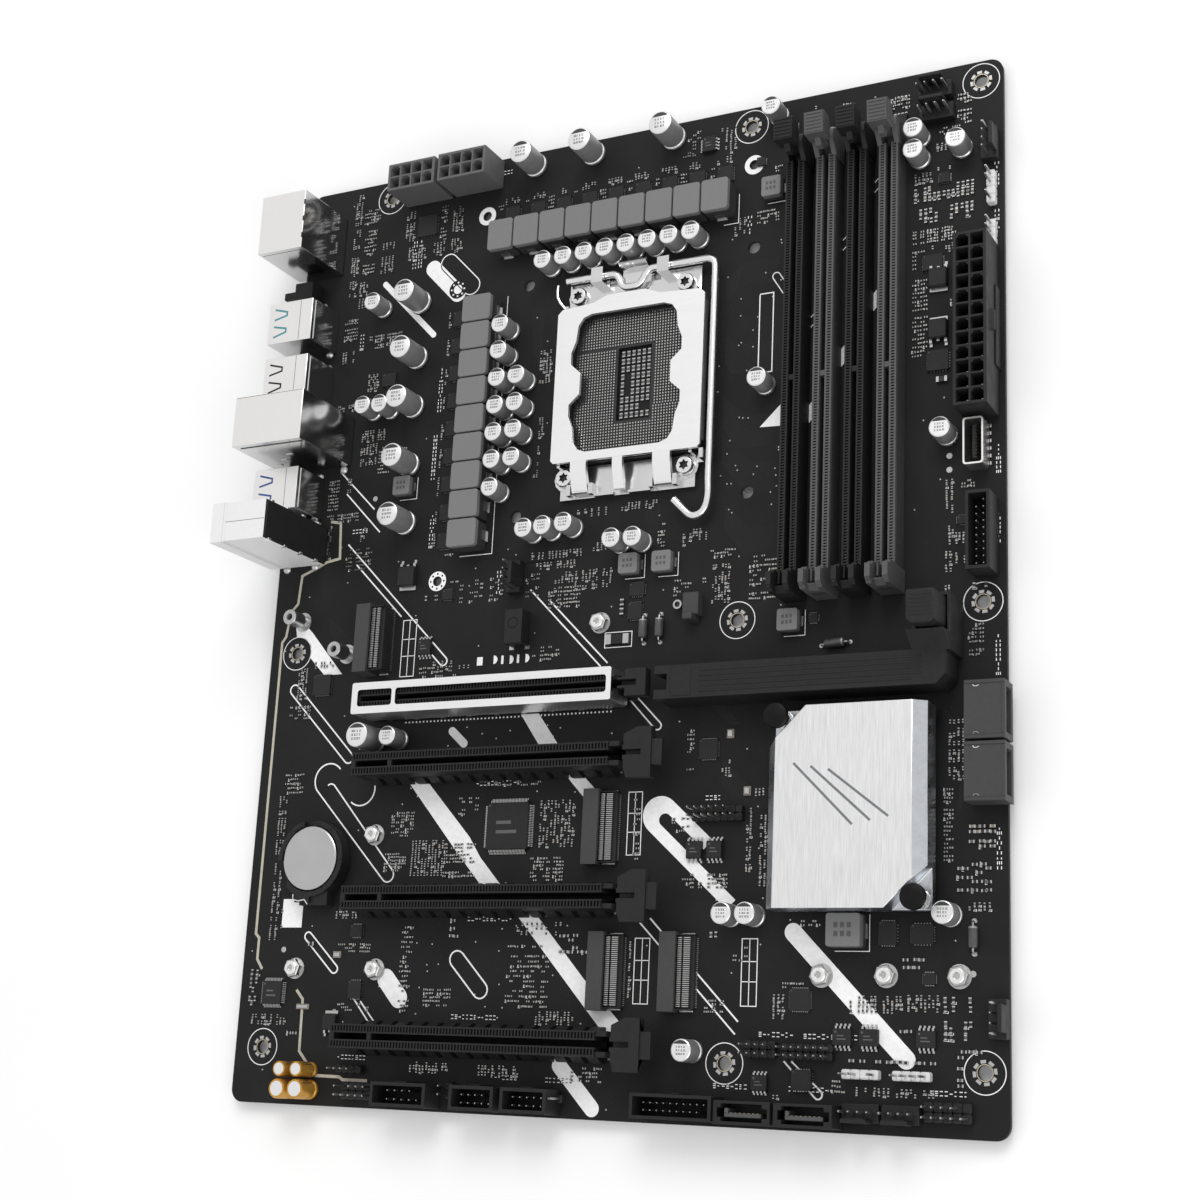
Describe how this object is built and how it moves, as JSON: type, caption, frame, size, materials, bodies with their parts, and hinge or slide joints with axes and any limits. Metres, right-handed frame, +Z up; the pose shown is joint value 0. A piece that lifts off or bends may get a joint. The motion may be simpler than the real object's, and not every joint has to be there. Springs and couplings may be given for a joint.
{
  "type": "motherboard",
  "caption": "Full-size desktop motherboard with processor socket and load lever, memory and expansion slots with latches, power, data and rear connectors, heatsink and coin cell.",
  "frame": {"origin": "middle of the board's underside, on the plane of the solder lands", "axes": "+Z up from the component side, +Y along the long side towards the processor-power end, +X across the board from the rear connectors towards the front edge"},
  "size_m": [0.2507, 0.305, 0.0366],
  "materials": {
    "solder_mask": "satin black solder mask over glass-fibre laminate",
    "black_plastic": "moulded, satin",
    "grey_plastic": "moulded, satin",
    "steel": "stamped, bright",
    "nickel": "nickel plated",
    "choke_core": "pressed iron powder, matt grey",
    "connector_can": "plated sheet can over plastic",
    "pale_plastic": "moulded, pale",
    "heatsink_metal": "fine blasted, silver",
    "cell_can": "bright can"
  },
  "bodies": {
    "board": {"pcb": "solder_mask", "cpu_socket": "black_plastic", "socket_backplate": "black_plastic", "dimm_slot_1": "black_plastic", "dimm_slot_3": "black_plastic", "pcie_slot_1": "black_plastic", "pcie_slot_2": "black_plastic", "pcie_slot_3": "black_plastic", "pcie_slot_4": "black_plastic", "q_release_cover": "black_plastic", "atx_power_connector": "black_plastic", "usb_header_front": "black_plastic", "usb_header_lower": "black_plastic", "sata_port_1": "black_plastic", "sata_port_2": "black_plastic", "bios_switch": "black_plastic", "heatsink_pin_1": "black_plastic", "heatsink_pin_2": "black_plastic", "battery_holder": "black_plastic", "dimm_slot_2": "grey_plastic", "dimm_slot_4": "grey_plastic", "m2_socket_1": "grey_plastic", "m2_socket_2": "grey_plastic", "m2_socket_3": "grey_plastic", "m2_socket_4": "grey_plastic", "cpu_power_connector_1": "grey_plastic", "cpu_power_connector_2": "grey_plastic", "sata_port_3": "grey_plastic", "sata_port_4": "grey_plastic", "socket_frame": "steel", "pcie_slot_1_shield": "steel", "socket_screw_1": "nickel", "socket_screw_2": "nickel", "socket_screw_3": "nickel", "socket_screw_4": "nickel", "usb_c_header": "nickel", "vrm_chokes_top": "choke_core", "vrm_chokes_rear": "choke_core", "display_ports": "connector_can", "usb_stack_1": "connector_can", "usb_stack_2": "connector_can", "usb_stack_3": "connector_can", "lan_usb_stack": "connector_can", "audio_jacks": "pale_plastic", "chipset_heatsink": "heatsink_metal"},
    "load_plate": {"load_plate": "steel"},
    "load_lever": {"load_lever": "nickel"},
    "dimm_latch_1": {"dimm_latch_1": "black_plastic"},
    "dimm_latch_2": {"dimm_latch_2": "grey_plastic"},
    "dimm_latch_3": {"dimm_latch_3": "black_plastic"},
    "dimm_latch_4": {"dimm_latch_4": "grey_plastic"},
    "pcie_latch_1": {"pcie_latch_1": "black_plastic"},
    "pcie_latch_2": {"pcie_latch_2": "black_plastic"},
    "pcie_latch_3": {"pcie_latch_3": "black_plastic"},
    "pcie_latch_4": {"pcie_latch_4": "black_plastic"},
    "q_release_button": {"q_release_button": "black_plastic"},
    "bios_button": {"bios_button": "black_plastic"},
    "coin_cell": {"coin_cell": "cell_can"}
  },
  "joints": [
    {"name": "load_plate_hinge", "type": "hinge", "parent": "board", "child": "load_plate", "pos_m": [0.006, 0.0324, 0.0046], "axis": [1, 0, 0], "range_deg": [0, 105]},
    {"name": "load_lever_hinge", "type": "hinge", "parent": "board", "child": "load_lever", "pos_m": [0.006, 0.1024, 0.0053], "axis": [-1, 0, 0], "range_deg": [0, 125]},
    {"name": "dimm_latch_1_hinge", "type": "hinge", "parent": "board", "child": "dimm_latch_1", "pos_m": [0.061, 0.1315, 0.0057], "axis": [-1, 0, 0], "range_deg": [0, 30]},
    {"name": "dimm_latch_2_hinge", "type": "hinge", "parent": "board", "child": "dimm_latch_2", "pos_m": [0.07068, 0.1315, 0.0057], "axis": [-1, 0, 0], "range_deg": [0, 30]},
    {"name": "dimm_latch_3_hinge", "type": "hinge", "parent": "board", "child": "dimm_latch_3", "pos_m": [0.08036, 0.1315, 0.0057], "axis": [-1, 0, 0], "range_deg": [0, 30]},
    {"name": "dimm_latch_4_hinge", "type": "hinge", "parent": "board", "child": "dimm_latch_4", "pos_m": [0.09004, 0.1315, 0.0057], "axis": [-1, 0, 0], "range_deg": [0, 30]},
    {"name": "pcie_latch_1_hinge", "type": "hinge", "parent": "board", "child": "pcie_latch_1", "pos_m": [0.0126, -0.0305, 0.0047], "axis": [0, 1, 0], "range_deg": [0, 12.01]},
    {"name": "pcie_latch_2_hinge", "type": "hinge", "parent": "board", "child": "pcie_latch_2", "pos_m": [0.0155, -0.05082, 0.0047], "axis": [0, 1, 0], "range_deg": [0, 22]},
    {"name": "pcie_latch_3_hinge", "type": "hinge", "parent": "board", "child": "pcie_latch_3", "pos_m": [0.0155, -0.09146, 0.0047], "axis": [0, 1, 0], "range_deg": [0, 22]},
    {"name": "pcie_latch_4_hinge", "type": "hinge", "parent": "board", "child": "pcie_latch_4", "pos_m": [0.0155, -0.1321, 0.0047], "axis": [0, 1, 0], "range_deg": [0, 22]},
    {"name": "q_release_press", "type": "slide", "parent": "board", "child": "q_release_button", "axis": [0, 0, -1], "range_m": [0, 0.003], "stiffness_N_per_m": 500},
    {"name": "bios_button_press", "type": "slide", "parent": "board", "child": "bios_button", "axis": [1, 0, 0], "range_m": [0, 0.0005], "stiffness_N_per_m": 2500},
    {"name": "coin_cell_lift", "type": "slide", "parent": "board", "child": "coin_cell", "axis": [0, 0, 1], "range_m": [0, 0.01]}
  ],
  "couplings": [
    {"joint": "pcie_latch_1_hinge", "follows": "q_release_press", "rad_per_m": 69.8}
  ]
}
